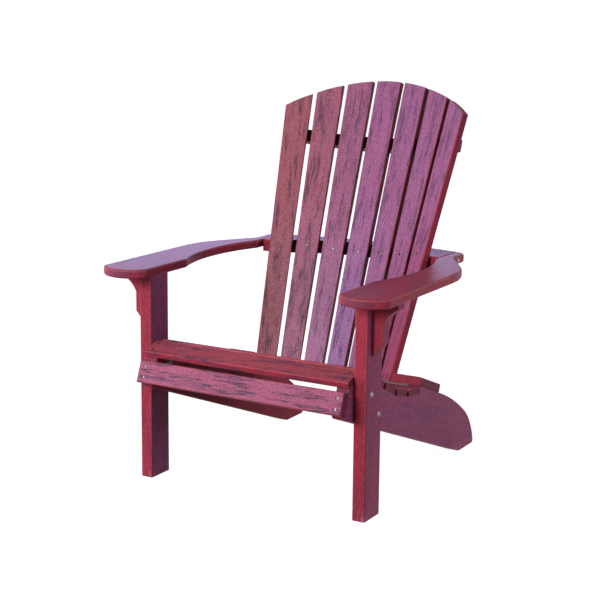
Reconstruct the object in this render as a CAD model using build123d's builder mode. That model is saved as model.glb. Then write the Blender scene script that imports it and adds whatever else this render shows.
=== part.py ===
"""Fan-back adirondack chair in plastic lumber: boards, bolts and screws, in millimetres.

The chair faces -Y and stands on Z = 0. The side rails slope down to the back by the
recline, and the seat, apron and back are square to them, so most pieces are laid out in
a tilted frame: "run" is measured back along the rails and "rise" up along the back.
"""
import os
from math import asin, cos, degrees, radians, sin, sqrt, tan

from build123d import *

os.makedirs("parts", exist_ok=True)

# Board stock
frame_thickness = 38.1
panel_thickness = 25.4
seat_slat_thickness = 19.05
back_slat_thickness = 22.2
slat_edge_radius = 4.0
frame_edge_radius = 2.5
fit_clearance = 0.1

# Front legs
seat_width = 650.8
leg_depth = 88.9
leg_edge_radius = 5.0
arm_top_height = 623.0

# Side rails, in run and rise from the floor line of the leg fronts
recline = 20.8
rail_front_run = -151.2
rail_bottom_rise = 251.6
rail_top_rise = 403.0
rail_front_radius = 10.0
tail_start_run = 450.0
tail_easing_radius = 800.0
tail_easing_turn = 14.4
tail_radius = 185.0
foot_front_radius = 60.0
foot_rear_radius = 9.0

# Front apron
apron_height = 63.5
apron_bottom_rise = 258.3

# Seat: slat angles against the rail, from the front slat to the rear slat
seat_slat_width = 66.0
seat_slat_angles = (39.6, -1.0, -10.0, -5.0, 5.0, 13.0)
seat_start_run = -154.4
seat_start_rise = 332.5
front_slat_gap = 8.0
seat_slat_gap = 14.0
rear_slat_swell = 80.0
rear_slat_swell_half_width = 215.0
rear_slat_blend_radius = 30.0
seat_step_clearance = 3.0

# Back slats, fanned and bowed: wider and flatter at the head than at the foot
back_ranks = range(-3, 4)
back_foot_run = 375.3
back_head_run = 383.6
slat_head_rise = 1345.0
back_top_rise = 1337.5
back_top_radius = 455.0
top_settling_steps = 3
slat_foot_width = 61.0
slat_head_width = 84.0
slat_foot_pitch = 71.9
slat_head_pitch = 95.8
back_foot_radius = 328.0
back_head_radius = 630.0

# Back braces
brace_reach = 150.0
brace_overlap = 2.8
brace_room_below = 10.0
lower_brace_front_run = 286.0
lower_brace_end_depth = 150.0
lower_brace_bow = 30.0
middle_brace_front = 577.0
middle_brace_end_rear = 693.0
middle_brace_bow = 35.0
upper_brace_bottom_rise = 1121.5
upper_brace_half_length = 284.0
upper_brace_front_run = 300.0
upper_brace_end_run = 378.0
upper_brace_bow = 72.0
brace_corner_radius = 8.0
brace_edge_radius = 3.0

# Arms, in plan from the leg fronts
arm_inner_overhang = 22.4
arm_outer_overhang = 86.5
arm_front_overhang = 92.0
arm_front_bow = 42.0
arm_corner_radius = 14.0
arm_edge_radius = 6.5
arm_notch_depth = 150.0
arm_scoop_end_depth = 546.0
arm_scoop = 38.0
arm_pad_start_depth = 595.0
arm_taper_radius = 250.0
arm_taper_turn = 31.7
arm_pad_width = 38.0
arm_pad_corner_radius = 12.0
arm_tail_radius = 36.0

# Arm brackets
bracket_height = 152.6
bracket_width = 31.8
bracket_top_width = 74.5
bracket_bevel_height = 38.0
bracket_flare_height = 60.0
bracket_lip_height = 18.0
bracket_flare_radius = 80.0
bracket_edge_radius = 2.5

# Fasteners
screw_head_diameter = 8.0
screw_head_height = 2.6
screw_head_crown = 0.5
screw_shank_diameter = 4.2
screw_point_length = 6.0
screw_recess = 1.6
screw_drive_size = 2.8
screw_drive_depth = 1.4
short_screw_length = 42.0
long_screw_length = 60.0
screw_clearance = 0.15
seat_screw_spacing = 31.0
apron_screw_spacing = 31.0
foot_screw_spacing = 28.0
middle_screw_drop = 18.7
brace_screw_inset = 36.0
upper_screw_grip = 28.0
upper_screw_access = 70.0
bracket_screw_drops = (43.0, 95.0)
bracket_screw_depth = 52.0
arm_screw_offset = 54.0
arm_screw_spacing = 18.0
arm_screw_grip = 26.0
bolt_diameter = 8.0
bolt_head_diameter = 16.5
bolt_head_height = 4.2
bolt_thread_stand_out = 3.0
bolt_clearance = 0.2
leg_bolt_depths = (30.9, 73.2)
leg_bolt_heights = (344.3, 281.8)
washer_diameter = 20.0
washer_thickness = 1.6
nut_width = 13.0
nut_thickness = 6.5
arm_bolt_depth = 624.0
arm_bolt_length = 82.0

# Derived places
lean = radians(recline)
rail_outer = seat_width / 2
rail_inner = rail_outer - frame_thickness
rail_middle = rail_outer - frame_thickness / 2
leg_outer = rail_outer + frame_thickness
arm_inner = rail_outer - arm_inner_overhang
arm_outer = leg_outer + arm_outer_overhang
leg_height = arm_top_height - panel_thickness
back_reach = (back_head_run + back_slat_thickness) * cos(lean) + back_top_rise * sin(lean)
leg_front = (arm_front_overhang - back_reach) / 2
datum = Vector(0, leg_front, 0)
down_rail = Vector(0, cos(lean), -sin(lean))
up_back = Vector(0, sin(lean), cos(lean))
across = Vector(1, 0, 0)
brace_seat = back_slat_thickness + fit_clearance
lower_brace_top_rise = rail_top_rise + panel_thickness
slat_foot_rise = rail_top_rise
middle_screw_rise = (arm_top_height - middle_screw_drop + back_foot_run * sin(lean)) / cos(lean)


def rail_plane(x):
    """Side view of the tilted frame at x: run to the right, rise upwards."""
    return Plane(origin=datum + across * x, x_dir=down_rail, z_dir=across)


def deck_plane(rise):
    """Plan of the tilted frame at one rise: x to the right, run upwards."""
    return Plane(origin=datum + up_back * rise, x_dir=across, z_dir=up_back)


def level_plane(height):
    """Level plan at one height: x to the right, depth from the leg fronts upwards."""
    return Plane(origin=datum + Vector(0, 0, height), x_dir=across, z_dir=(0, 0, 1))


def tilted_point(x, run, rise):
    """A point given in the tilted frame."""
    return datum + across * x + down_rail * run + up_back * rise


def bow_radius(half_width, bow):
    """Radius of the arc that bulges by bow over a chord of twice half_width."""
    return (half_width**2 + bow**2) / (2 * bow)


def write(piece, label):
    """Name one finished piece and write it as a STEP file."""
    piece.label = label
    export_step(piece, f"parts/{label}.step")


def mirrored(piece):
    """The same piece for the other side of the chair."""
    with BuildPart() as other:
        mirror(piece, about=Plane.YZ)
    return other.part


def write_pair(right, label):
    """Write a right-hand piece and its mirror image across the chair."""
    write(right, f"{label}_right")
    write(mirrored(right), f"{label}_left")


# Where the seat slats lie: each slat's lower front corner in run and rise, and its angle
def seat_slat_places():
    places = []
    run, rise = seat_start_run, seat_start_rise
    for number, angle in enumerate(seat_slat_angles):
        places.append((run, rise, angle))
        run += seat_slat_width * cos(radians(angle))
        rise += seat_slat_width * sin(radians(angle))
        if number + 1 < len(seat_slat_angles):
            gap = front_slat_gap if number == 0 else seat_slat_gap
            bend = radians((angle + seat_slat_angles[number + 1]) / 2)
            run += gap * cos(bend)
            rise += gap * sin(bend)
    return places


def seat_slat_plane(place):
    """Side view of one seat slat at the middle of the chair: its width, then its thickness."""
    run, rise, angle = place
    turn = radians(angle)
    along = down_rail * cos(turn) + up_back * sin(turn)
    return Plane(origin=tilted_point(0, run, rise), x_dir=along, z_dir=across)


seat_places = seat_slat_places()


# Where the back slats lie: a section plane on the front face of one slat at one rise
def back_arc_point(rank, pitch, radius, front_run):
    turn = 2 * asin(pitch / (2 * radius)) * rank
    return radius * sin(turn), front_run - radius * (1 - cos(turn)), turn


def back_slat_share(rise):
    """How far up a back slat one rise is, from 0 at the foot to 1 at the head."""
    return (rise - slat_foot_rise) / (slat_head_rise - slat_foot_rise)


def back_slat_width(rise):
    return slat_foot_width + (slat_head_width - slat_foot_width) * back_slat_share(rise)


def back_slat_plane(rank, rise):
    """Section of one back slat: x along its face, y from the front face to the back."""
    share = back_slat_share(rise)
    foot_x, foot_run, foot_turn = back_arc_point(rank, slat_foot_pitch, back_foot_radius, back_foot_run)
    head_x, head_run, head_turn = back_arc_point(rank, slat_head_pitch, back_head_radius, back_head_run)
    foot_half = (slat_foot_width / 2 - slat_edge_radius) * (1 - share)
    head_half = (slat_head_width / 2 - slat_edge_radius) * share
    over = foot_half * cos(foot_turn) + head_half * cos(head_turn)
    fore = foot_half * sin(foot_turn) + head_half * sin(head_turn)
    middle = tilted_point(
        foot_x + (head_x - foot_x) * share, foot_run + (head_run - foot_run) * share, rise
    )
    return Plane(origin=middle, x_dir=across * over - down_rail * fore, z_dir=up_back)


def back_face_spot(rank, rise, offset, depth):
    """A spot in a back slat's section, offset along its face, that looks to the front."""
    section = back_slat_plane(rank, rise)
    return Plane(
        origin=section.origin + section.x_dir * offset + section.y_dir * depth,
        x_dir=section.x_dir,
        z_dir=section.y_dir * -1,
    )


# Screws and bolts are turned about Z with the head at the top, pointing down
def make_screw(length):
    head = screw_head_diameter / 2
    shank = screw_shank_diameter / 2
    top = -screw_recess
    with BuildPart() as screw:
        with BuildSketch(Plane.XZ):
            with BuildLine():
                crown = ThreePointArc(
                    (0, top), (head / 2, top - screw_head_crown / 4), (head, top - screw_head_crown)
                )
                Polyline(
                    crown @ 1,
                    (head, top - screw_head_height),
                    (shank, top - screw_head_height),
                    (shank, screw_point_length - length),
                    (0, -length),
                    (0, top),
                )
            make_face()
        revolve(axis=Axis.Z)
        with BuildSketch(Plane.XY.offset(top)):
            Rectangle(screw_drive_size, screw_drive_size)
        extrude(amount=-screw_drive_depth, mode=Mode.SUBTRACT)
    return screw.part


def screw_holes(spots, length):
    """Counterbored holes for screws of one length, cut into the piece being made."""
    with Locations(*spots):
        CounterBoreHole(
            radius=screw_shank_diameter / 2 + screw_clearance,
            counter_bore_radius=screw_head_diameter / 2 + screw_clearance,
            counter_bore_depth=screw_recess + screw_head_height,
            depth=length + screw_clearance,
        )


def access_holes(spots, length):
    """Wide bores that lead in to screw heads which sit deep below a surface."""
    with Locations(*spots):
        Hole(radius=screw_head_diameter / 2 + screw_clearance, depth=length)


def bolt_holes(spots, length):
    """Plain bores for bolts, cut into the piece being made."""
    with Locations(*spots):
        Hole(radius=bolt_diameter / 2 + bolt_clearance, depth=length)


def make_bolt(length):
    """A round-headed bolt whose head stands above the surface that it clamps."""
    head = bolt_head_diameter / 2
    shank = bolt_diameter / 2
    with BuildPart() as bolt:
        with BuildSketch(Plane.XZ):
            with BuildLine():
                dome = RadiusArc((0, bolt_head_height), (head, 0), bow_radius(head, bolt_head_height))
                Polyline(dome @ 1, (shank, 0), (shank, -length), (0, -length), dome @ 0)
            make_face()
        revolve(axis=Axis.Z)
        chamfer(bolt.edges().sort_by(Axis.Z)[0], bolt_diameter / 8)
    return bolt.part


def group(solid, spots):
    """One solid repeated at every spot, as a group of separate pieces."""
    with BuildPart() as pieces:
        with Locations(*spots):
            add(solid)
    return pieces.part


# Fastener spots, shared by the fastener and by every board that it passes
seat_screw_spots = []
for place in seat_places:
    side_view = seat_slat_plane(place)
    for side in (-1, 1):
        for offset in (-seat_screw_spacing / 2, seat_screw_spacing / 2):
            spot = side_view.from_local_coords(
                Vector(seat_slat_width / 2 + offset, seat_slat_thickness, side * rail_middle)
            )
            seat_screw_spots.append(Plane(origin=spot, x_dir=across, z_dir=side_view.y_dir))

apron_front_run = rail_front_run - panel_thickness
apron_screw_spots = [
    Plane(
        origin=tilted_point(side * rail_middle, apron_front_run, apron_bottom_rise + apron_height / 2 + offset),
        x_dir=across,
        z_dir=down_rail * -1,
    )
    for side in (-1, 1)
    for offset in (-apron_screw_spacing / 2, apron_screw_spacing / 2)
]
middle_screw_spots = [back_face_spot(rank, middle_screw_rise, 0, 0) for rank in back_ranks]
foot_screw_spots = [
    back_face_spot(rank, (rail_top_rise + lower_brace_top_rise) / 2, offset, 0)
    for rank in back_ranks
    for offset in (-foot_screw_spacing / 2, foot_screw_spacing / 2)
]
upper_screw_rise = upper_brace_bottom_rise + frame_thickness / 2
upper_screw_spots = []
upper_access_spots = []
for rank in back_ranks:
    front = back_face_spot(rank, upper_screw_rise, 0, back_slat_thickness + upper_screw_grip)
    upper_screw_spots.append(Plane(front.origin, x_dir=front.x_dir, z_dir=front.z_dir * -1))
    rear = front.origin - front.z_dir * upper_screw_access
    upper_access_spots.append(Plane(rear, x_dir=front.x_dir, z_dir=front.z_dir * -1))
lower_brace_screw_runs = (
    lower_brace_front_run + brace_screw_inset,
    lower_brace_front_run + lower_brace_end_depth - brace_screw_inset,
)
lower_brace_screw_spots = [
    Plane(
        origin=tilted_point(side * rail_middle, run, lower_brace_top_rise),
        x_dir=across,
        z_dir=up_back,
    )
    for side in (-1, 1)
    for run in lower_brace_screw_runs
]


def side_spot(x, depth, height, facing):
    """A spot on an upright face of the chair's side, looking along X."""
    return Plane(origin=datum + Vector(x, depth, height), x_dir=(0, 1, 0), z_dir=(facing, 0, 0))


leg_bolt_spots = [
    side_spot(side * leg_outer, depth, height, side)
    for side in (-1, 1)
    for depth, height in zip(leg_bolt_depths, leg_bolt_heights)
]
leg_nut_spots = [
    side_spot(side * rail_inner, depth, height, -side)
    for side in (-1, 1)
    for depth, height in zip(leg_bolt_depths, leg_bolt_heights)
]
arm_bolt_spots = [
    side_spot(side * (arm_inner + arm_pad_width), arm_bolt_depth, arm_top_height - panel_thickness / 2, side)
    for side in (-1, 1)
]
bracket_screw_spots = [
    side_spot(side * rail_outer, bracket_screw_depth, leg_height - drop, -side)
    for side in (-1, 1)
    for drop in bracket_screw_drops
]
arm_screw_spots = []
arm_access_spots = []
for side in (-1, 1):
    for offset in (-arm_screw_spacing / 2, arm_screw_spacing / 2):
        seat = datum + Vector(
            side * (leg_outer + arm_screw_offset), leg_depth / 2 + offset, leg_height - arm_screw_grip
        )
        arm_screw_spots.append(Plane(seat, x_dir=across, z_dir=(0, 0, -1)))
        mouth = seat - Vector(0, 0, bracket_height)
        arm_access_spots.append(Plane(mouth, x_dir=across, z_dir=(0, 0, -1)))

# Front legs: one upright board each side, outside the rail and under the arm
with BuildPart() as front_leg:
    with BuildSketch(level_plane(0)):
        with Locations((rail_outer + frame_thickness / 2, leg_depth / 2)):
            RectangleRounded(frame_thickness, leg_depth, leg_edge_radius)
    extrude(amount=leg_height)
    bolt_holes(leg_bolt_spots, 2 * frame_thickness)
    screw_holes(bracket_screw_spots, long_screw_length)
write_pair(front_leg.part, "front_leg")

# Side rails: sawn to the seat curve on top, rounded behind and flat where they meet the floor
rail_top_line = []
for run, rise, angle in seat_places:
    rail_top_line.append((run, rise))
    rail_top_line.append(
        (run + seat_slat_width * cos(radians(angle)), rise + seat_slat_width * sin(radians(angle)))
    )
front_slope = tan(radians(seat_slat_angles[0]))
rail_top_line[0] = (rail_front_run, seat_start_rise + (rail_front_run - seat_start_run) * front_slope)
step_run = rail_top_line[-1][0] + seat_step_clearance
easing = radians(tail_easing_turn)
easing_end_run = tail_start_run + tail_easing_radius * sin(easing)
easing_end_rise = rail_top_rise - tail_easing_radius * (1 - cos(easing))
tail_center = (easing_end_run - tail_radius * sin(easing), easing_end_rise - tail_radius * cos(easing))
tail_start_angle = 90 - tail_easing_turn
tail_end_angle = degrees(asin((rail_bottom_rise - tail_center[1]) / tail_radius))
with BuildPart() as side_rail:
    with BuildSketch(rail_plane(rail_inner)):
        with BuildLine():
            top = Polyline(
                (rail_front_run, rail_bottom_rise),
                *rail_top_line,
                (step_run, rail_top_line[-1][1]),
                (step_run, rail_top_rise),
                (tail_start_run, rail_top_rise),
            )
            CenterArc(
                (tail_start_run, rail_top_rise - tail_easing_radius),
                tail_easing_radius,
                90,
                -tail_easing_turn,
            )
            tail = CenterArc(tail_center, tail_radius, tail_start_angle, tail_end_angle - tail_start_angle)
            Line(tail @ 1, top @ 0)
        make_face()
    extrude(amount=frame_thickness)
    split(bisect_by=Plane.XY, keep=Keep.TOP)
    foot_edges = side_rail.edges().filter_by(Axis.X).group_by(Axis.Z)[0].sort_by(Axis.Y)
    fillet(foot_edges[0], foot_front_radius)
    fillet(side_rail.edges().filter_by(Axis.X).group_by(Axis.Z)[0].sort_by(Axis.Y)[-1], foot_rear_radius)
    fillet(side_rail.edges().filter_by(Axis.X).sort_by(Axis.Y)[0], rail_front_radius)
    side_faces = side_rail.faces().filter_by(Axis.X)
    tail_edges = side_faces.edges().filter_by(
        lambda edge: rail_plane(0).to_local_coords(edge.center()).X > step_run
        or rail_plane(0).to_local_coords(edge.center()).Y < rail_bottom_rise + rail_front_radius
    )
    fillet(tail_edges, frame_edge_radius)
    bolt_holes(leg_bolt_spots, 2 * frame_thickness)
    screw_holes(seat_screw_spots, short_screw_length)
    screw_holes(apron_screw_spots, long_screw_length)
    screw_holes(lower_brace_screw_spots, long_screw_length)
write_pair(side_rail.part, "side_rail")

# Front apron: a board across the rail ends, below the front slat
with BuildPart() as front_apron:
    apron_middle = tilted_point(0, rail_front_run, apron_bottom_rise + apron_height / 2)
    with BuildSketch(Plane(origin=apron_middle, x_dir=across, z_dir=down_rail * -1)):
        Rectangle(seat_width, apron_height)
    extrude(amount=panel_thickness)
    fillet(front_apron.faces().filter_by(Axis((0, 0, 0), down_rail)).edges(), slat_edge_radius)
    screw_holes(apron_screw_spots, long_screw_length)
write(front_apron.part, "front_apron")

# Seat slats: straight round-edged boards, and a rear one that swells back to meet the bowed back
for number, place in enumerate(seat_places[:-1], start=1):
    with BuildPart() as seat_slat:
        with BuildSketch(seat_slat_plane(place)):
            with Locations((seat_slat_width / 2, seat_slat_thickness / 2)):
                RectangleRounded(seat_slat_width, seat_slat_thickness, slat_edge_radius)
        extrude(amount=seat_width / 2, both=True)
        screw_holes(seat_screw_spots, short_screw_length)
    write(seat_slat.part, f"seat_slat_{number}")

rear_side_view = seat_slat_plane(seat_places[-1])
rear_plan = Plane(
    origin=rear_side_view.origin,
    x_dir=across,
    z_dir=rear_side_view.y_dir,
)
with BuildPart() as rear_seat_slat:
    with BuildSketch(rear_plan) as rear_outline:
        with BuildLine():
            edge = Polyline(
                (-rear_slat_swell_half_width, seat_slat_width),
                (-seat_width / 2, seat_slat_width),
                (-seat_width / 2, 0),
                (seat_width / 2, 0),
                (seat_width / 2, seat_slat_width),
                (rear_slat_swell_half_width, seat_slat_width),
            )
            ThreePointArc(edge @ 1, (0, seat_slat_width + rear_slat_swell), edge @ 0)
        make_face()
        for swell_end in (edge @ 0, edge @ 1):
            fillet(rear_outline.vertices().sort_by_distance(swell_end)[0], rear_slat_blend_radius)
    extrude(amount=seat_slat_thickness)
    flat_faces = rear_seat_slat.faces().filter_by(Axis((0, 0, 0), rear_plan.z_dir))
    long_edges = flat_faces.edges().filter_by(lambda edge: abs(edge.tangent_at(0.5).X) > 0.5)
    fillet(long_edges, slat_edge_radius)
    screw_holes(seat_screw_spots, short_screw_length)
write(rear_seat_slat.part, f"seat_slat_{len(seat_places)}")

# Back slats: tapered boards sprung to the braces, so each twists a little, sawn to one arc on top
def back_top_height(x):
    """Rise of the arc that the slats' tops make together, at one distance from the middle."""
    return back_top_rise - back_top_radius + sqrt(back_top_radius**2 - x**2)


def back_top_plane(rank):
    """The middle of one slat's top on its front face, turned to follow the arc there."""
    head = back_slat_plane(rank, back_top_rise)
    for _ in range(top_settling_steps):
        head = back_slat_plane(rank, back_top_height(head.origin.X))
    slope = -head.origin.X / sqrt(back_top_radius**2 - head.origin.X**2)
    follow = head.x_dir + head.z_dir * slope * head.x_dir.X
    return Plane(origin=head.origin, x_dir=follow, z_dir=head.y_dir * -1)


def make_back_slat(index):
    with BuildPart() as back_slat:
        for rise in (slat_foot_rise, slat_head_rise):
            with BuildSketch(back_slat_plane(back_ranks[index], rise)):
                with Locations((0, back_slat_thickness / 2)):
                    RectangleRounded(back_slat_width(rise), back_slat_thickness, slat_edge_radius)
        loft(ruled=True)
        with BuildSketch(back_top_plane(back_ranks[index])):
            Rectangle(2 * back_top_radius, 2 * back_top_radius)
            with Locations((0, -back_top_radius)):
                Circle(back_top_radius, mode=Mode.SUBTRACT)
        extrude(amount=2 * back_slat_thickness, both=True, mode=Mode.SUBTRACT)
        screw_holes(middle_screw_spots[index : index + 1], short_screw_length)
        screw_holes(foot_screw_spots[2 * index : 2 * index + 2], short_screw_length)
        screw_holes(upper_screw_spots[index : index + 1], short_screw_length)
    return back_slat.part


slat_count = len(back_ranks)
middle_index = slat_count // 2
for index in range(middle_index):
    outer_slat = make_back_slat(index)
    write(outer_slat, f"back_slat_{index + 1}")
    write(mirrored(outer_slat), f"back_slat_{slat_count - index}")
write(make_back_slat(middle_index), f"back_slat_{middle_index + 1}")

# The room that the back slats take in front of their back faces, which the braces are cut to
slat_rooms = []
room_stretch = (slat_foot_pitch + brace_overlap) / (slat_foot_width - 2 * slat_edge_radius)
for rank in back_ranks:
    with BuildPart() as slat_room:
        for rise in (slat_foot_rise - brace_room_below, slat_head_rise):
            with BuildSketch(back_slat_plane(rank, rise)):
                with Locations((0, brace_seat - brace_reach / 2)):
                    Rectangle((back_slat_width(rise) - 2 * slat_edge_radius) * room_stretch, brace_reach)
        loft(ruled=True)
    slat_rooms.append(slat_room.part)

# Lower back brace: lies flat on the rails and carries the slats' feet
with BuildPart() as lower_back_brace:
    with BuildSketch(deck_plane(rail_top_rise)) as lower_outline:
        with BuildLine():
            ends = Polyline(
                (-rail_outer, lower_brace_front_run + lower_brace_end_depth),
                (-rail_outer, lower_brace_front_run),
                (rail_outer, lower_brace_front_run),
                (rail_outer, lower_brace_front_run + lower_brace_end_depth),
            )
            rear_bow = (0, lower_brace_front_run + lower_brace_end_depth + lower_brace_bow)
            ThreePointArc(ends @ 1, rear_bow, ends @ 0)
        make_face()
        fillet(lower_outline.vertices().group_by(Axis.Y)[-1], brace_corner_radius)
    extrude(amount=panel_thickness)
    flat_faces = lower_back_brace.faces().filter_by(Axis((0, 0, 0), up_back))
    front_edges = flat_faces.edges().filter_by(Axis.X)
    fillet(flat_faces.edges() - front_edges, brace_edge_radius)
    add(slat_rooms, mode=Mode.SUBTRACT)
    screw_holes(foot_screw_spots, short_screw_length)
    screw_holes(lower_brace_screw_spots, long_screw_length)
write(lower_back_brace.part, "lower_back_brace")

# Middle back brace: level with the arms, which are bolted to its ends
with BuildPart() as middle_back_brace:
    with BuildSketch(level_plane(arm_top_height - frame_thickness)):
        with BuildLine():
            ends = Polyline(
                (-arm_inner, middle_brace_end_rear),
                (-arm_inner, middle_brace_front),
                (arm_inner, middle_brace_front),
                (arm_inner, middle_brace_end_rear),
            )
            ThreePointArc(ends @ 1, (0, middle_brace_end_rear + middle_brace_bow), ends @ 0)
        make_face()
    extrude(amount=frame_thickness)
    fillet(middle_back_brace.edges().filter_by(GeomType.CIRCLE), brace_edge_radius)
    add(slat_rooms, mode=Mode.SUBTRACT)
    screw_holes(middle_screw_spots, short_screw_length)
    bolt_holes(arm_bolt_spots, arm_bolt_length)
write(middle_back_brace.part, "middle_back_brace")

# Upper back brace: square to the slats and screwed to them from behind
with BuildPart() as upper_back_brace:
    with BuildSketch(deck_plane(upper_brace_bottom_rise)) as upper_outline:
        with BuildLine():
            ends = Polyline(
                (-upper_brace_half_length, upper_brace_end_run),
                (-upper_brace_half_length, upper_brace_front_run),
                (upper_brace_half_length, upper_brace_front_run),
                (upper_brace_half_length, upper_brace_end_run),
            )
            ThreePointArc(ends @ 1, (0, upper_brace_end_run + upper_brace_bow), ends @ 0)
        make_face()
        fillet(upper_outline.vertices().group_by(Axis.Y)[-1], brace_corner_radius)
    extrude(amount=frame_thickness)
    fillet(upper_back_brace.edges().filter_by(GeomType.CIRCLE), brace_edge_radius)
    add(slat_rooms, mode=Mode.SUBTRACT)
    screw_holes(upper_screw_spots, short_screw_length)
    access_holes(upper_access_spots, upper_screw_access)
write(upper_back_brace.part, "upper_back_brace")

# Arms: paddle-shaped boards, scooped beside the back and bolted to the middle brace behind
taper = radians(arm_taper_turn)
pad_x = arm_inner + arm_pad_width
taper_end_x = arm_outer - arm_taper_radius * (1 - cos(taper))
taper_end_depth = arm_pad_start_depth - (taper_end_x - pad_x) / tan(taper)
taper_start_depth = taper_end_depth - arm_taper_radius * sin(taper)
arm_middle = (arm_inner + arm_outer) / 2
arm_front_depth = arm_front_bow - arm_front_overhang
with BuildPart() as arm:
    with BuildSketch(level_plane(leg_height)) as arm_outline:
        with BuildLine():
            front = ThreePointArc(
                (arm_inner, arm_front_depth),
                (arm_middle, -arm_front_overhang),
                (arm_outer, arm_front_depth),
            )
            Line(front @ 1, (arm_outer, taper_start_depth))
            CenterArc(
                (arm_outer - arm_taper_radius, taper_start_depth),
                arm_taper_radius,
                0,
                arm_taper_turn,
            )
            rear = Polyline(
                (taper_end_x, taper_end_depth),
                (pad_x, arm_pad_start_depth),
                (pad_x, middle_brace_end_rear),
                (arm_inner, middle_brace_end_rear),
                (arm_inner, arm_scoop_end_depth),
            )
            scoop = ThreePointArc(
                rear @ 1,
                (arm_inner + arm_scoop, (arm_scoop_end_depth + arm_notch_depth) / 2),
                (arm_inner, arm_notch_depth),
            )
            Line(scoop @ 1, front @ 0)
        make_face()
        corners = arm_outline.vertices().sort_by(Axis.Y)
        fillet(corners[:2], arm_corner_radius)
        fillet(arm_outline.vertices().sort_by_distance((pad_x, middle_brace_end_rear))[0], arm_tail_radius)
        fillet(arm_outline.vertices().sort_by_distance((pad_x, arm_pad_start_depth))[0], arm_pad_corner_radius)
    extrude(amount=panel_thickness)
    fillet(arm.faces().filter_by(Axis.Z).edges(), arm_edge_radius)
    bolt_holes(arm_bolt_spots, arm_bolt_length)
    screw_holes(arm_screw_spots, short_screw_length)
write_pair(arm.part, "arm")

# Arm brackets: shaped blocks on the outside of the legs that carry the overhanging arms
bracket_top = bracket_height
with BuildPart() as arm_bracket:
    bracket_base = datum + Vector(leg_outer, leg_depth / 2, leg_height - bracket_height)
    with BuildSketch(Plane(origin=bracket_base, x_dir=across, z_dir=(0, -1, 0))):
        with BuildLine():
            block = Polyline(
                (bracket_top_width, bracket_top - bracket_lip_height),
                (bracket_top_width, bracket_top),
                (0, bracket_top),
                (0, 0),
                (bracket_width, bracket_bevel_height),
                (bracket_width, bracket_top - bracket_flare_height),
            )
            RadiusArc(block @ 1, block @ 0, bracket_flare_radius)
        make_face()
    extrude(amount=frame_thickness / 2, both=True)
    shown_edges = arm_bracket.faces().filter_by(Axis.Y).edges().filter_by(
        lambda edge: edge.center().X > leg_outer + bracket_edge_radius
        and edge.center().Z < leg_height - bracket_edge_radius
    )
    fillet(shown_edges, bracket_edge_radius)
    screw_holes(bracket_screw_spots, long_screw_length)
    screw_holes(arm_screw_spots, short_screw_length)
    access_holes(arm_access_spots, bracket_height)
write_pair(arm_bracket.part, "arm_bracket")

# Fasteners: stainless screws and bolts, each kind as one group of separate pieces
short_screw = make_screw(short_screw_length)
long_screw = make_screw(long_screw_length)
write(group(short_screw, seat_screw_spots), "seat_screws")
write(group(long_screw, apron_screw_spots), "apron_screws")
write(group(short_screw, foot_screw_spots), "back_foot_screws")
write(group(short_screw, middle_screw_spots), "back_middle_screws")
write(group(short_screw, upper_screw_spots), "back_upper_screws")
write(group(long_screw, lower_brace_screw_spots), "lower_brace_screws")
write(group(long_screw, bracket_screw_spots), "bracket_screws")
write(group(short_screw, arm_screw_spots), "arm_screws")

leg_bolt_length = 2 * frame_thickness + washer_thickness + nut_thickness + bolt_thread_stand_out
write(group(make_bolt(leg_bolt_length), leg_bolt_spots), "leg_bolts")
write(group(make_bolt(arm_bolt_length), arm_bolt_spots), "arm_bolts")

with BuildPart() as washer:
    Cylinder(washer_diameter / 2, washer_thickness, align=(Align.CENTER, Align.CENTER, Align.MIN))
    Hole(bolt_diameter / 2 + bolt_clearance)
write(group(washer.part, leg_nut_spots), "leg_bolt_washers")

with BuildPart() as nut:
    with BuildSketch(Plane.XY.offset(washer_thickness)):
        RegularPolygon(nut_width / 2, 6, major_radius=False)
    extrude(amount=nut_thickness)
    Hole(bolt_diameter / 2 + bolt_clearance)
write(group(nut.part, leg_nut_spots), "leg_bolt_nuts")
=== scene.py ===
from itertools import count
from math import cos, radians, sin

import bpy
from mathutils import Matrix, Vector


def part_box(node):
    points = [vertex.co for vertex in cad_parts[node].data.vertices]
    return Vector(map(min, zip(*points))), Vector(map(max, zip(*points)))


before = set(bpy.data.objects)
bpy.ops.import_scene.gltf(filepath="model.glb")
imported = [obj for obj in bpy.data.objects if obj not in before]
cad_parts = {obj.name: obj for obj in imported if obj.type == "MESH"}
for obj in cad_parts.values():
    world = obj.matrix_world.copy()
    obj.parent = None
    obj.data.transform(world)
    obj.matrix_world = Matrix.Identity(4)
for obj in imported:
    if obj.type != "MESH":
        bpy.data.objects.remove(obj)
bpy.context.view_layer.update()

# Front legs
# Two upright boards of plastic lumber, 38 by 89 mm, moulded in one colour with darker
# streaks along the run, planed smooth and bolted to the outside of the side rails.
lumber_red = (0.270, 0.024, 0.042, 1.0)
lumber_deep_red = (0.200, 0.016, 0.030, 1.0)
lumber_dust = (0.380, 0.055, 0.085, 1.0)
# Lavender painted sheen, which stands for cool light reflected off the faces
painted_sheen_lavender = Vector((0.360, 0.270, 0.580, 1.0))
streak_slate = (0.034, 0.034, 0.062, 1.0)
# Darker purple painted shade for sawn ends
sawn_shade_purple = (0.110, 0.032, 0.062, 1.0)
# Pale rose painted highlight for rounded edges, which also stands for rubbed wear
edge_highlight_rose = (0.520, 0.150, 0.160, 1.0)
scuff_grey = (0.330, 0.190, 0.215, 1.0)

# The grain runs along X, in features per metre along the board and then across it
grain_run = Vector((1, 0, 0))
dash_grain = (28.0, 380.0, 380.0)
patch_grain = (9.0, 70.0, 70.0)
fibre_grain = (70.0, 1100.0, 1100.0)
cloud_grain = (3.0, 12.0, 12.0)
speck_grain = (260.0, 340.0, 340.0)
scuff_grain = (90.0, 90.0, 60.0)

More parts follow.
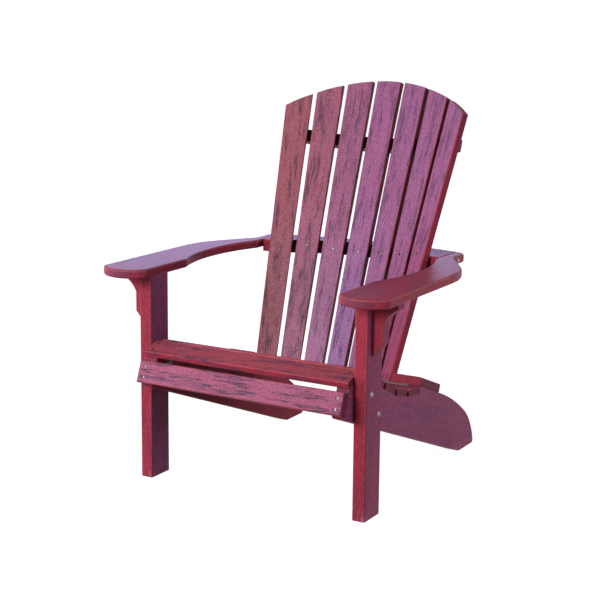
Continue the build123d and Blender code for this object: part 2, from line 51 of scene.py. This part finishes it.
# The noise at which a mark begins to show, and at which it shows in full
dash_step = (0.47, 0.64)
patch_step = (0.43, 0.60)
haze_step = (0.52, 0.72)
fibre_step = (0.46, 0.72)
cloud_step = (0.30, 0.70)
speckle_step = (0.38, 0.62)
dust_step = (0.40, 0.62)
scuff_step = (0.50, 0.68)

# How far a mark hides the colour below it, and how rough and how raised the surface is
dust_cover = 0.65
edge_highlight_cover = 0.45
sawn_shade_cover = 0.65
haze_cover = 0.30
hair_cover = 0.35
streak_cover = 0.85
scuff_cover = 0.6
speckle_least, speckle_spread = 0.40, 0.60
rough_least, rough_spread = 0.32, 0.30
fibre_relief, speck_relief = 0.4, 0.6
relief_strength, relief_depth = 0.35, 0.0006
lumber_sheen = 0.04

# The turn of a surface, as a cosine, at which it counts as sawn end, wide face or edge
end_turn = (0.80, 0.95)
face_turn = (0.82, 0.97)
edge_start_turn = (0.12, 0.35)
edge_end_turn = (0.62, 0.82)

# Heights above the ground, in metres, and the step in the pattern from board to board
scuff_heights = (0.0, 0.045)
# Heights over which the painted light at a board's foot fades
foot_painted_light_heights = (0.35, 0.85)
board_step = Vector((1.7, 0.9, 0.4))

leg_streaks = 0.35
# Painted sheen on the legs' side faces, heavier on the left leg
leg_painted_sheen = {"left": 0.32, "right": 0.20}


def feed(tree, socket, value):
    """Link an input from another node's output, or set it to a value."""
    if isinstance(value, bpy.types.NodeSocket):
        tree.links.new(value, socket)
    else:
        socket.default_value = value


def add_node(tree, kind, **inputs):
    """One node, with its inputs set to values or linked from other nodes' outputs."""
    node = tree.nodes.new(kind)
    for name, value in inputs.items():
        feed(tree, node.inputs[name.replace("_", " ")], value)
    return node


def add_math(tree, operation, *values):
    """One sum on values or other nodes' outputs, held between 0 and 1."""
    node = tree.nodes.new("ShaderNodeMath")
    node.operation = operation
    node.use_clamp = True
    for socket, value in zip(node.inputs, values):
        feed(tree, socket, value)
    return node.outputs[0]


def add_noise(tree, place, grain, detail=2.0, roughness=0.5):
    """Noise with a number of features per metre each way."""
    scaled = add_node(tree, "ShaderNodeMapping", Vector=place, Scale=grain)
    noise = add_node(
        tree,
        "ShaderNodeTexNoise",
        Vector=scaled.outputs["Vector"],
        Scale=1.0,
        Detail=detail,
        Roughness=roughness,
    )
    return noise.outputs["Fac"]


def add_step(tree, value, low, high):
    """0 below low, 1 above high and a smooth rise between them."""
    step = tree.nodes.new("ShaderNodeMapRange")
    step.interpolation_type = "SMOOTHSTEP"
    feed(tree, step.inputs["Value"], value)
    feed(tree, step.inputs["From Min"], low)
    feed(tree, step.inputs["From Max"], high)
    return step.outputs["Result"]


def add_blend(tree, amount, first, second):
    """Two colours blended by an amount."""
    blend = tree.nodes.new("ShaderNodeMix")
    blend.data_type = "RGBA"
    feed(tree, blend.inputs["Factor"], amount)
    for name, value in (("A", first), ("B", second)):
        feed(tree, next(s for s in blend.inputs if s.name == name and s.type == "RGBA"), value)
    return next(s for s in blend.outputs if s.type == "RGBA")


def add_facing(tree, normal, direction):
    """1 where the surface looks along a direction, 0 where it is square to it, -1 where it looks away."""
    facing = tree.nodes.new("ShaderNodeVectorMath")
    facing.operation = "DOT_PRODUCT"
    feed(tree, facing.inputs[0], normal)
    feed(tree, facing.inputs[1], direction.normalized())
    return facing.outputs["Value"]


def make_lumber_group():
    """Colour, roughness and relief of streaked plastic lumber that runs along X.

    Streaks is how strong the slate dashes are. Painted light is a tint towards a given colour that
    stands for painted sheen, and on the arms for painted shade. Cut End is 1 on a sawn end, which
    is painted a darker purple shade, and Edge is 1 on the rounded edges, which get a pale painted
    highlight that also stands for rubbed wear.
    """
    tree = bpy.data.node_groups.new("streaked_lumber", "ShaderNodeTree")
    tree.interface.new_socket("Place", in_out="INPUT", socket_type="NodeSocketVector")
    tree.interface.new_socket("Painted Light Color", in_out="INPUT", socket_type="NodeSocketColor")
    for name in ("Streaks", "Painted Light", "Cut End", "Edge"):
        tree.interface.new_socket(name, in_out="INPUT", socket_type="NodeSocketFloat")
    tree.interface.new_socket("Color", in_out="OUTPUT", socket_type="NodeSocketColor")
    for name in ("Roughness", "Relief"):
        tree.interface.new_socket(name, in_out="OUTPUT", socket_type="NodeSocketFloat")
    given = tree.nodes.new("NodeGroupInput").outputs
    place = given["Place"]
    dashes = add_step(tree, add_noise(tree, place, dash_grain), *dash_step)
    worn = add_noise(tree, place, patch_grain)
    patches = add_step(tree, worn, *patch_step)
    haze = add_math(tree, "MULTIPLY", add_step(tree, worn, *haze_step), given["Streaks"])
    fibres = add_step(tree, add_noise(tree, place, fibre_grain), *fibre_step)
    clouds = add_step(tree, add_noise(tree, place, cloud_grain), *cloud_step)
    specks = add_noise(tree, place, speck_grain, detail=4.0, roughness=0.7)
    speckle = add_step(tree, specks, *speckle_step)
    speckle = add_math(tree, "MULTIPLY_ADD", speckle, speckle_spread, speckle_least)
    dust = add_math(tree, "MULTIPLY", add_step(tree, specks, *dust_step), dust_cover)
    painted_light = add_math(tree, "MULTIPLY", given["Painted Light"], speckle)
    painted_edge_highlight = add_math(tree, "MULTIPLY", given["Edge"], speckle)
    along_grain = add_math(tree, "SUBTRACT", 1.0, given["Cut End"])
    hair = add_math(tree, "MULTIPLY", add_math(tree, "MULTIPLY", fibres, patches), given["Streaks"])
    streaks = add_math(tree, "MULTIPLY", add_math(tree, "MULTIPLY", dashes, patches), given["Streaks"])
    streaks = add_math(tree, "MULTIPLY", streaks, along_grain)
    color = add_blend(tree, clouds, lumber_red, lumber_deep_red)
    color = add_blend(tree, dust, color, lumber_dust)
    # Painted light on the board's given face: painted sheen on most boards, painted shade on the arms
    color = add_blend(tree, painted_light, color, given["Painted Light Color"])
    # The rounded edges get a pale rose painted highlight, which also stands for rubbed wear
    color = add_blend(tree, add_math(tree, "MULTIPLY", painted_edge_highlight, edge_highlight_cover), color, edge_highlight_rose)
    # Sawn ends are darkened to purple, a painted shade
    color = add_blend(tree, add_math(tree, "MULTIPLY", given["Cut End"], sawn_shade_cover), color, sawn_shade_purple)
    color = add_blend(tree, add_math(tree, "MULTIPLY", haze, haze_cover), color, streak_slate)
    color = add_blend(tree, add_math(tree, "MULTIPLY", hair, hair_cover), color, streak_slate)
    color = add_blend(tree, add_math(tree, "MULTIPLY", streaks, streak_cover), color, streak_slate)
    rough = add_math(tree, "MULTIPLY_ADD", specks, rough_spread, rough_least)
    relief = add_math(tree, "MULTIPLY", specks, speck_relief)
    relief = add_math(tree, "MULTIPLY_ADD", fibres, fibre_relief, relief)
    result = tree.nodes.new("NodeGroupOutput")
    feed(tree, result.inputs["Color"], color)
    feed(tree, result.inputs["Roughness"], rough)
    feed(tree, result.inputs["Relief"], relief)
    return tree


lumber_group = make_lumber_group()
board_numbers = count(1)


def lumber(
    name,
    along,
    face,
    streaks,
    painted_light,
    both_faces=False,
    painted_light_color=painted_sheen_lavender,
    foot_painted_light=0.0,
    sheen=lumber_sheen,
):
    """The finish of one board: streaks run along it, and its given face gets painted light, a sheen on
    most boards, a shade on the arms.
    """
    material = bpy.data.materials.new(name)
    material.use_nodes = True
    tree = material.node_tree
    shader = tree.nodes["Principled BSDF"]
    coordinates = tree.nodes.new("ShaderNodeTexCoord").outputs
    turned = add_node(
        tree,
        "ShaderNodeMapping",
        Vector=coordinates["Object"],
        Rotation=along.rotation_difference(grain_run).to_euler(),
        Location=board_step * next(board_numbers),
    )
    cut_end = add_math(tree, "ABSOLUTE", add_facing(tree, coordinates["Normal"], along))
    cut_end = add_step(tree, cut_end, *end_turn)
    facing = add_facing(tree, coordinates["Normal"], face)
    if both_faces:
        facing = add_math(tree, "ABSOLUTE", facing)
    wide_face = add_step(tree, facing, *face_turn)
    edge_start = add_step(tree, facing, *edge_start_turn)
    edge = add_math(tree, "SUBTRACT", edge_start, add_step(tree, facing, *edge_end_turn))
    height = add_node(tree, "ShaderNodeSeparateXYZ", Vector=coordinates["Object"]).outputs["Z"]
    above_foot = add_step(tree, height, *foot_painted_light_heights)
    # The painted light changes towards a board's foot by the foot amount
    fading_painted_light = add_math(tree, "MULTIPLY_ADD", above_foot, -foot_painted_light, painted_light + foot_painted_light)
    look = tree.nodes.new("ShaderNodeGroup")
    look.node_tree = lumber_group
    feed(tree, look.inputs["Place"], turned.outputs["Vector"])
    feed(tree, look.inputs["Streaks"], streaks)
    feed(tree, look.inputs["Painted Light"], add_math(tree, "MULTIPLY", wide_face, fading_painted_light))
    feed(tree, look.inputs["Painted Light Color"], painted_light_color)
    feed(tree, look.inputs["Cut End"], cut_end)
    feed(tree, look.inputs["Edge"], edge)
    near_ground = add_math(tree, "SUBTRACT", 1.0, add_step(tree, height, *scuff_heights))
    scuffs = add_noise(tree, coordinates["Object"], scuff_grain, detail=3.0, roughness=0.6)
    scuffed = add_math(tree, "MULTIPLY", near_ground, add_step(tree, scuffs, *scuff_step))
    scuffed = add_math(tree, "MULTIPLY", scuffed, scuff_cover)
    bump = add_node(
        tree,
        "ShaderNodeBump",
        Height=look.outputs["Relief"],
        Strength=relief_strength,
        Distance=relief_depth,
    )
    feed(tree, shader.inputs["Base Color"], add_blend(tree, scuffed, look.outputs["Color"], scuff_grey))
    feed(tree, shader.inputs["Roughness"], look.outputs["Roughness"])
    feed(tree, shader.inputs["Specular IOR Level"], sheen)
    feed(tree, shader.inputs["Normal"], bump.outputs["Normal"])
    return material


def dress(node, material):
    """Give one piece of the chair its finish."""
    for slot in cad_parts[node].material_slots:
        slot.material = material


sides = ("left", "right")
upright = Vector((0, 0, 1))
across = Vector((1, 0, 0))
for side in sides:
    leg_lumber = lumber(
        f"leg_lumber_{side}", upright, across, leg_streaks, leg_painted_sheen[side], both_faces=True
    )
    dress(f"front_leg_{side}", leg_lumber)

# Side rails
# Two long boards on edge, sloping down to the back at the recline. They are band-sawn to
# the seat's curve on top and to a rounded tail behind, and bolted inside the legs.
recline = radians(20.8)
down_rail = Vector((0, cos(recline), -sin(recline)))
rail_streaks = 0.45
# Painted sheen on the rails' outer faces
rail_painted_sheen = 0.26


def outward(node):
    """The way out to the side from the middle of the chair, at one piece."""
    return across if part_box(node)[0][0] > 0 else -across


for side in sides:
    node = f"side_rail_{side}"
    dress(node, lumber(f"rail_lumber_{side}", down_rail, outward(node), rail_streaks, rail_painted_sheen))

# Front apron
# A board across the front ends of the rails, screwed on with two screws at each end. Its
# wide face shows the streaks well, under a painted sheen between rose and lavender.
apron_streaks = 1.2
# Painted sheen on the apron's front face
apron_painted_sheen = 0.34
apron_sheen_lavender = 0.6
# Rose painted sheen, which stands for warmer light reflected off the faces
painted_sheen_rose = Vector((0.540, 0.300, 0.350, 1.0))
apron_sheen_tint = painted_sheen_rose.lerp(painted_sheen_lavender, apron_sheen_lavender)
apron_lumber = lumber(
    "apron_lumber", across, -down_rail, apron_streaks, apron_painted_sheen, painted_light_color=apron_sheen_tint
)
dress("front_apron", apron_lumber)

# Seat slats
# Round-edged boards across the rails. The front one tips over the apron, the others
# follow the hollow of the seat, and the rear one swells back to meet the bowed back.
seat_streaks = 1.3
# Rose painted sheen on the tops of the seat slats
seat_painted_sheen = 0.14
for node in sorted(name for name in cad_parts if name.startswith("seat_slat_")):
    seat_lumber = lumber(
        f"{node}_lumber", across, upright, seat_streaks, seat_painted_sheen, painted_light_color=painted_sheen_rose
    )
    dress(node, seat_lumber)

# Lower, middle and upper back braces
# Three boards behind the back, sawn in front to seat each slat and bowed behind. Their
# streaks are faint, they carry a painted sheen, and a painted shade darkens the upper two
# where they show between the slats.
up_back = Vector((0, sin(recline), cos(recline)))
brace_streaks = 0.45
# Painted sheen on the braces' tops and on the lower brace's front
brace_painted_sheen = 0.36
# Near-black painted shade for faces deep between the slats
gap_shade_colour = (0.016, 0.006, 0.010, 1.0)
brace_shade_cover = 0.85
brace_shade_turn = (0.3, 0.7)
middle_brace_reach = (0.258, 0.274)
whole_reach = (0.50, 0.51)


def add_painted_shade(material, direction, turn, cover, reach):
    """Painted shade on the faces that look along a direction, out to a reach from the chair's middle."""
    tree = material.node_tree
    color = tree.nodes["Principled BSDF"].inputs["Base Color"]
    coordinates = tree.nodes["Texture Coordinate"].outputs
    place = add_node(tree, "ShaderNodeSeparateXYZ", Vector=coordinates["Object"])
    open_end = add_step(tree, add_math(tree, "ABSOLUTE", place.outputs["X"]), *reach)
    looks_out = add_step(tree, add_facing(tree, coordinates["Normal"], direction), *turn)
    painted_shade = add_math(tree, "MULTIPLY", looks_out, add_math(tree, "SUBTRACT", cover, open_end))
    feed(tree, color, add_blend(tree, painted_shade, color.links[0].from_socket, gap_shade_colour))


dress("lower_back_brace", lumber("lower_brace_lumber", across, up_back, brace_streaks, brace_painted_sheen))
for node, reach in (("middle_back_brace", middle_brace_reach), ("upper_back_brace", whole_reach)):
    brace_lumber = lumber(f"{node}_lumber", across, upright, brace_streaks, brace_painted_sheen)
    add_painted_shade(brace_lumber, -down_rail, brace_shade_turn, brace_shade_cover, reach)
    dress(node, brace_lumber)

# Back slats
# Seven tapered boards, fanned and bowed, screwed to the braces and sawn to one arc on top.
# The streaks follow each board's own lean, a painted sheen lies on them, and painted shade
# darkens the sides that face a gap.
slat_fan = 0.029
slat_turn = radians(10.6)
back_streaks = 0.85
back_painted_sheen = 0.46
# More painted sheen at the foot of the left slats; it falls slat by slat to the right, where the last
# slats are darker there, a painted shade under the near arm
back_foot_painted_light = 0.26
foot_painted_light_fall = 0.17
# Painted shade on the slat sides that face a gap
slat_shade_cover = 0.6
slat_shade_turn = (0.80, 0.95)
back_slats = sorted(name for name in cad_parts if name.startswith("back_slat_"))
middle_slat = len(back_slats) // 2
for place, node in enumerate(back_slats):
    rank = place - middle_slat
    lean = up_back + across * slat_fan * rank
    face = -down_rail * cos(slat_turn * rank) - across * sin(slat_turn * rank)
    to_right = across * cos(slat_turn * rank) - down_rail * sin(slat_turn * rank)
    # The painted sheen runs from rose on the first slat to lavender from the middle slat on
    sheen_tint = painted_sheen_rose.lerp(painted_sheen_lavender, min(1.0, place / middle_slat))
    painted_foot_light = back_foot_painted_light - foot_painted_light_fall * max(0, rank)
    slat_lumber = lumber(
        f"{node}_lumber", lean, face, back_streaks, back_painted_sheen, painted_light_color=sheen_tint, foot_painted_light=painted_foot_light
    )
    if node != back_slats[-1]:
        add_painted_shade(slat_lumber, to_right, slat_shade_turn, slat_shade_cover, whole_reach)
    if node != back_slats[0]:
        add_painted_shade(slat_lumber, -to_right, slat_shade_turn, slat_shade_cover, whole_reach)
    dress(node, slat_lumber)

# Arms
# Two paddle-shaped boards with rounded edges, scooped on the inside. They lie on the
# legs and brackets, and a bolt holds each one to the middle brace behind.
lengthwise = Vector((0, 1, 0))
arm_streaks = 0.8
# The arms' tops are darkened towards dark purple, a painted shade
arm_painted_shade = 0.20
arm_shade_tint = Vector((0.100, 0.020, 0.100, 1.0))
arm_sheen = 0.10
for side in sides:
    arm_lumber = lumber(
        f"arm_lumber_{side}",
        lengthwise,
        upright,
        arm_streaks,
        arm_painted_shade,
        painted_light_color=arm_shade_tint,
        sheen=arm_sheen,
    )
    dress(f"arm_{side}", arm_lumber)

# Arm brackets
# Shaped blocks of the same lumber on the outside of the legs, bevelled below and flared
# above, screwed through the leg and up into the arm.
bracket_streaks = 0.25
# Painted sheen on the brackets' outer faces
bracket_painted_sheen = 0.16
for side in sides:
    node = f"arm_bracket_{side}"
    dress(node, lumber(f"bracket_lumber_{side}", upright, outward(node), bracket_streaks, bracket_painted_sheen))

# Screws, bolts, washers and nuts
# Stainless steel: square-drive screws sunk into the boards, round-headed bolts through
# the legs and arms, and washers and nuts inside the rails.
steel_bright = (0.25, 0.24, 0.24, 1.0)
steel_dull = (0.10, 0.10, 0.10, 1.0)
stain_grain = (300.0, 300.0, 300.0)
stain_step = (0.35, 0.70)
scratch_grain = (4000.0, 900.0, 900.0)
steel_rough_least, steel_rough_spread = 0.36, 0.25
scratch_strength, scratch_depth = 0.2, 0.0002


def make_steel():
    """Satin steel with dull stains and fine scratches."""
    material = bpy.data.materials.new("stainless_steel")
    material.use_nodes = True
    tree = material.node_tree
    shader = tree.nodes["Principled BSDF"]
    place = tree.nodes.new("ShaderNodeTexCoord").outputs["Object"]
    stain = add_step(tree, add_noise(tree, place, stain_grain, detail=3.0, roughness=0.6), *stain_step)
    scratches = add_noise(tree, place, scratch_grain, roughness=0.6)
    rough = add_math(tree, "MULTIPLY_ADD", scratches, steel_rough_spread, steel_rough_least)
    bump = add_node(
        tree, "ShaderNodeBump", Height=scratches, Strength=scratch_strength, Distance=scratch_depth
    )
    feed(tree, shader.inputs["Metallic"], 1.0)
    feed(tree, shader.inputs["Base Color"], add_blend(tree, stain, steel_bright, steel_dull))
    feed(tree, shader.inputs["Roughness"], rough)
    feed(tree, shader.inputs["Normal"], bump.outputs["Normal"])
    return material


steel = make_steel()
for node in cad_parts:
    if node.endswith(("_screws", "_bolts", "_washers", "_nuts")):
        dress(node, steel)

# Studio floor
# A pale sweep under the chair. The camera sees it as white, apart from the soft shadow.
floor_size = 60.0
floor_colour = (0.24, 0.24, 0.24, 1.0)
floor_glow = 0.93
floor_white_radii = (1.5, 4.5)
pure_white = (1.0, 1.0, 1.0, 1.0)


def add_seen(tree):
    """1 for what the camera sees straight, in a gloss or through glass, and 0 for light."""
    rays = tree.nodes.new("ShaderNodeLightPath").outputs
    mirrored = add_math(tree, "MAXIMUM", rays["Is Glossy Ray"], rays["Is Transmission Ray"])
    return add_math(tree, "MAXIMUM", rays["Is Camera Ray"], mirrored)


bpy.ops.object.select_all(action="DESELECT")
bpy.ops.mesh.primitive_plane_add(size=floor_size, location=(0, 0, 0))
floor = bpy.context.active_object
floor.name = "studio_floor"
floor_material = bpy.data.materials.new("studio_floor")
floor_material.use_nodes = True
tree = floor_material.node_tree
tree.nodes.remove(tree.nodes["Principled BSDF"])
matte = add_node(tree, "ShaderNodeBsdfDiffuse", Color=floor_colour)
distance = tree.nodes.new("ShaderNodeVectorMath")
distance.operation = "LENGTH"
feed(tree, distance.inputs[0], tree.nodes.new("ShaderNodeTexCoord").outputs["Object"])
whiten = add_step(tree, distance.outputs["Value"], *floor_white_radii)
feed(tree, whiten.node.inputs["To Min"], floor_glow)
shine = add_math(tree, "MULTIPLY", add_seen(tree), whiten)
glow = add_node(tree, "ShaderNodeEmission", Color=pure_white, Strength=shine)
both = tree.nodes.new("ShaderNodeAddShader")
feed(tree, both.inputs[0], matte.outputs["BSDF"])
feed(tree, both.inputs[1], glow.outputs["Emission"])
feed(tree, tree.nodes["Material Output"].inputs["Surface"], both.outputs["Shader"])
floor.data.materials.append(floor_material)

# Studio light
# A key from the front left, cool fill from the left, a weaker one from the right and two
# lamps behind, one of them blue, which skims the arms. The room is pale.
room_light = (0.86, 0.86, 1.00, 1.0)
room_strength = 0.08
chair_middle = Vector((0, 0, 0.55))


def add_softbox(name, place, size, watts, colour, gloss=True):
    """A lamp of a width and height that faces the middle of the chair, and may show in its gloss."""
    lamp = bpy.data.lights.new(name, "AREA")
    lamp.shape = "RECTANGLE"
    lamp.size, lamp.size_y = size
    lamp.energy = watts
    lamp.color = colour
    softbox = bpy.data.objects.new(name, lamp)
    softbox.location = place
    softbox.rotation_euler = (chair_middle - Vector(place)).to_track_quat("-Z", "Y").to_euler()
    softbox.visible_camera = False
    softbox.visible_glossy = gloss
    bpy.context.scene.collection.objects.link(softbox)


world = bpy.data.worlds.new("pale_room")
bpy.context.scene.world = world
world.use_nodes = True
tree = world.node_tree
room = tree.nodes["Background"]
feed(tree, room.inputs["Color"], room_light)
feed(tree, room.inputs["Strength"], room_strength)
white = add_node(tree, "ShaderNodeBackground", Color=pure_white, Strength=1.0)
swap = tree.nodes.new("ShaderNodeMixShader")
feed(tree, swap.inputs[0], add_seen(tree))
feed(tree, swap.inputs[1], room.outputs["Background"])
feed(tree, swap.inputs[2], white.outputs["Background"])
feed(tree, tree.nodes["World Output"].inputs["Surface"], swap.outputs["Shader"])

add_softbox(
    "key_front_left",
    place=(-0.8, -4.0, 2.1),
    size=(1.4, 1.4),
    watts=165.0,
    colour=(1.0, 0.96, 0.93),
)
add_softbox(
    "cool_left",
    place=(-3.0, -2.3, 1.5),
    size=(2.0, 2.0),
    watts=95.0,
    colour=(0.84, 0.82, 1.0),
)
add_softbox(
    "fill_right",
    place=(4.0, 0.2, 1.4),
    size=(2.0, 2.0),
    watts=50.0,
    colour=(0.94, 0.86, 1.0),
)
add_softbox(
    "behind_left",
    place=(-3.0, 4.2, 1.3),
    size=(3.2, 2.0),
    watts=115.0,
    colour=(0.36, 0.46, 1.0),
)
add_softbox(
    "behind_right",
    place=(1.8, 4.5, 1.8),
    size=(2.4, 2.4),
    watts=115.0,
    colour=(1.0, 0.96, 0.96),
    gloss=False,
)

# Camera
# It stands to the front right, a little higher than the chair, and looks slightly down
# through a long lens. The shift sets the chair in the frame as the photograph has it.
camera_place = Vector((2.0065, -3.6178, 1.3612))
camera_yaw = radians(31.37)
camera_pitch = radians(10.31)
camera_roll = radians(0.26)
focal_length = 86.15
sensor_width = 36.0
frame_shift = (0.0686, -0.0641)
view_limit = 1000.0
camera_data = bpy.data.cameras.new("photo_camera")
camera_data.lens = focal_length
camera_data.sensor_width = sensor_width
camera_data.shift_x, camera_data.shift_y = frame_shift
camera_data.clip_end = view_limit
camera = bpy.data.objects.new("photo_camera", camera_data)
camera.location = camera_place
view_turn = Matrix.Rotation(camera_yaw, 3, "Z") @ Matrix.Rotation(radians(90) - camera_pitch, 3, "X")
camera.rotation_euler = (view_turn @ Matrix.Rotation(camera_roll, 3, "Z")).to_euler()
bpy.context.scene.collection.objects.link(camera)
bpy.context.scene.camera = camera
bpy.context.scene.view_settings.view_transform = "Standard"
